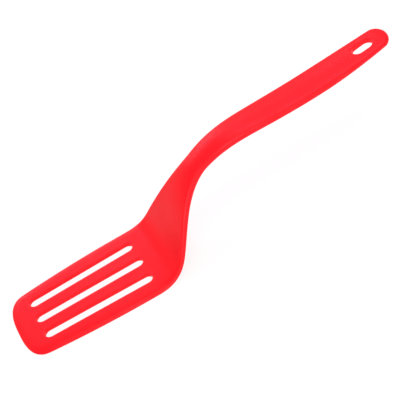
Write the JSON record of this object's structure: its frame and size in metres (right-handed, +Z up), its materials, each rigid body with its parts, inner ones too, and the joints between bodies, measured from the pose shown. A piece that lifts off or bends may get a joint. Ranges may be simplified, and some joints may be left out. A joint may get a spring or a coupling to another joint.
{
  "type": "slotted turner",
  "caption": "Slotted kitchen turner: a thin flat blade, a flaring bent-up neck and a long crowned handle with a hang hole, in a soft skin over stiff cores.",
  "frame": {"origin": "on the plane of the blade's underside, below the middle of the overall length and width", "axes": "+X from the blade's lip to the handle's end, +Y across the blade to the left, +Z up from the blade's underside"},
  "size_m": [0.3298, 0.0734, 0.0812],
  "materials": {
    "silicone": "satin red silicone",
    "steel": "bare spring steel",
    "nylon": "dull dark red nylon"
  },
  "bodies": {
    "root": {"silicone_skin": "silicone", "blade_core": "steel", "handle_core": "nylon"}
  },
  "joints": []
}
